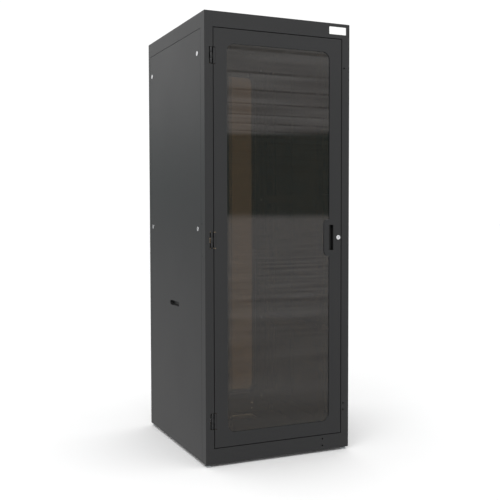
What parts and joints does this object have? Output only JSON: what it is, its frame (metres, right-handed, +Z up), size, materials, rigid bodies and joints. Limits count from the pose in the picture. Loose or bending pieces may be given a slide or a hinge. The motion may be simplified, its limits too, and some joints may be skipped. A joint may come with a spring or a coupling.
{
  "type": "network server rack cabinet",
  "caption": "Tall steel 19-inch rack cabinet: glazed doors front and rear, pull-off side panels on quarter-turn latches, vented roof, inner mounting rails and levelling feet.",
  "frame": {"origin": "on the floor under the middle of the cabinet", "axes": "+Z up, -Y out of the front door, +X to the right seen from the front"},
  "size_m": [0.766, 0.86, 2.106],
  "materials": {
    "frame_paint": "dark grey powder coat with a fine texture, low sheen",
    "panel_paint": "grey powder coat with a fine texture, low sheen",
    "inner_paint": "dark grey powder coat, satin",
    "tinted_glass": "smoke-tinted, polished",
    "chromed_locks": "bright chrome plate",
    "zinc_plated_steel": "clear zinc plate",
    "black_plastic": "moulded, matt black",
    "rubber": "foam and profile rubber, matt black",
    "white_label": "blank white film, satin"
  },
  "bodies": {
    "cabinet": {"front_left_post": "frame_paint", "front_right_post": "frame_paint", "rear_left_post": "frame_paint", "rear_right_post": "frame_paint", "front_header": "frame_paint", "rear_header": "frame_paint", "front_sill": "frame_paint", "rear_sill": "frame_paint", "top_side_rails": "frame_paint", "bottom_side_rails": "frame_paint", "corner_foot_plates": "frame_paint", "roof_panel": "frame_paint", "floor_plate": "frame_paint", "cable_edge_trims": "rubber", "side_channels": "inner_paint", "front_left_rack_rail": "inner_paint", "front_right_rack_rail": "inner_paint", "rear_left_rack_rail": "inner_paint", "rear_right_rack_rail": "inner_paint", "frame_bolts": "zinc_plated_steel", "door_seals": "rubber", "frame_hinge_leaves": "frame_paint", "hinge_pins": "zinc_plated_steel", "blank_label": "white_label"},
    "front_door": {"front_door_leaf": "frame_paint", "front_door_glass": "tinted_glass", "front_glazing_tape": "rubber", "front_glass_retainers": "zinc_plated_steel", "front_pull_pocket": "black_plastic", "front_lock_housing": "chromed_locks", "front_hinge_leaves": "frame_paint"},
    "front_lock": {"front_lock_plug": "chromed_locks"},
    "rear_door": {"rear_door_leaf": "frame_paint", "rear_door_glass": "tinted_glass", "rear_glazing_tape": "rubber", "rear_glass_retainers": "zinc_plated_steel", "rear_pull_pocket": "black_plastic", "rear_lock_housing": "chromed_locks", "rear_hinge_leaves": "frame_paint"},
    "rear_lock": {"rear_lock_plug": "chromed_locks"},
    "left_panel": {"left_side_panel": "panel_paint", "left_panel_ribs": "frame_paint", "left_panel_grip": "black_plastic", "left_latch_housings": "chromed_locks"},
    "left_latch_1": {"left_latch_plug_1": "chromed_locks"},
    "left_latch_2": {"left_latch_plug_2": "chromed_locks"},
    "left_latch_3": {"left_latch_plug_3": "chromed_locks"},
    "left_latch_4": {"left_latch_plug_4": "chromed_locks"},
    "right_panel": {"right_side_panel": "panel_paint", "right_panel_ribs": "frame_paint", "right_panel_grip": "black_plastic", "right_latch_housings": "chromed_locks"},
    "right_latch_1": {"right_latch_plug_1": "chromed_locks"},
    "right_latch_2": {"right_latch_plug_2": "chromed_locks"},
    "right_latch_3": {"right_latch_plug_3": "chromed_locks"},
    "right_latch_4": {"right_latch_plug_4": "chromed_locks"},
    "foot_front_left": {"foot_front_left": "zinc_plated_steel"},
    "foot_front_right": {"foot_front_right": "zinc_plated_steel"},
    "foot_rear_left": {"foot_rear_left": "zinc_plated_steel"},
    "foot_rear_right": {"foot_rear_right": "zinc_plated_steel"}
  },
  "joints": [
    {"name": "front_door_hinge", "type": "hinge", "parent": "cabinet", "child": "front_door", "pos_m": [-0.347, -0.4235, 1.059], "axis": [0, 0, -1], "range_deg": [0, 125]},
    {"name": "front_lock_turn", "type": "hinge", "parent": "front_door", "child": "front_lock", "pos_m": [0.3206, -0.428, 1.063], "axis": [0, -1, 0], "range_deg": [0, 90]},
    {"name": "rear_door_hinge", "type": "hinge", "parent": "cabinet", "child": "rear_door", "pos_m": [-0.347, 0.4235, 1.059], "axis": [0, 0, 1], "range_deg": [0, 125]},
    {"name": "rear_lock_turn", "type": "hinge", "parent": "rear_door", "child": "rear_lock", "pos_m": [0.3206, 0.428, 1.063], "axis": [0, -1, 0], "range_deg": [0, 90]},
    {"name": "left_panel_pull_off", "type": "slide", "parent": "cabinet", "child": "left_panel", "axis": [-1, 0, 0], "range_m": [0, 0.15]},
    {"name": "left_latch_1_turn", "type": "hinge", "parent": "left_panel", "child": "left_latch_1", "pos_m": [-0.381, -0.337, 1.11], "axis": [-1, 0, 0], "range_deg": [0, 90]},
    {"name": "left_latch_2_turn", "type": "hinge", "parent": "left_panel", "child": "left_latch_2", "pos_m": [-0.381, -0.337, 1.922], "axis": [-1, 0, 0], "range_deg": [0, 90]},
    {"name": "left_latch_3_turn", "type": "hinge", "parent": "left_panel", "child": "left_latch_3", "pos_m": [-0.381, 0.363, 1.11], "axis": [1, 0, 0], "range_deg": [0, 90]},
    {"name": "left_latch_4_turn", "type": "hinge", "parent": "left_panel", "child": "left_latch_4", "pos_m": [-0.381, 0.363, 1.922], "axis": [1, 0, 0], "range_deg": [0, 90]},
    {"name": "right_panel_pull_off", "type": "slide", "parent": "cabinet", "child": "right_panel", "axis": [1, 0, 0], "range_m": [0, 0.15]},
    {"name": "right_latch_1_turn", "type": "hinge", "parent": "right_panel", "child": "right_latch_1", "pos_m": [0.381, -0.337, 1.11], "axis": [-1, 0, 0], "range_deg": [0, 90]},
    {"name": "right_latch_2_turn", "type": "hinge", "parent": "right_panel", "child": "right_latch_2", "pos_m": [0.381, -0.337, 1.922], "axis": [-1, 0, 0], "range_deg": [0, 90]},
    {"name": "right_latch_3_turn", "type": "hinge", "parent": "right_panel", "child": "right_latch_3", "pos_m": [0.381, 0.363, 1.11], "axis": [1, 0, 0], "range_deg": [0, 90]},
    {"name": "right_latch_4_turn", "type": "hinge", "parent": "right_panel", "child": "right_latch_4", "pos_m": [0.381, 0.363, 1.922], "axis": [1, 0, 0], "range_deg": [0, 90]},
    {"name": "foot_front_left_height", "type": "slide", "parent": "cabinet", "child": "foot_front_left", "axis": [0, 0, -1], "range_m": [0, 0.025]},
    {"name": "foot_front_right_height", "type": "slide", "parent": "cabinet", "child": "foot_front_right", "axis": [0, 0, -1], "range_m": [0, 0.025]},
    {"name": "foot_rear_left_height", "type": "slide", "parent": "cabinet", "child": "foot_rear_left", "axis": [0, 0, -1], "range_m": [0, 0.025]},
    {"name": "foot_rear_right_height", "type": "slide", "parent": "cabinet", "child": "foot_rear_right", "axis": [0, 0, -1], "range_m": [0, 0.025]}
  ]
}
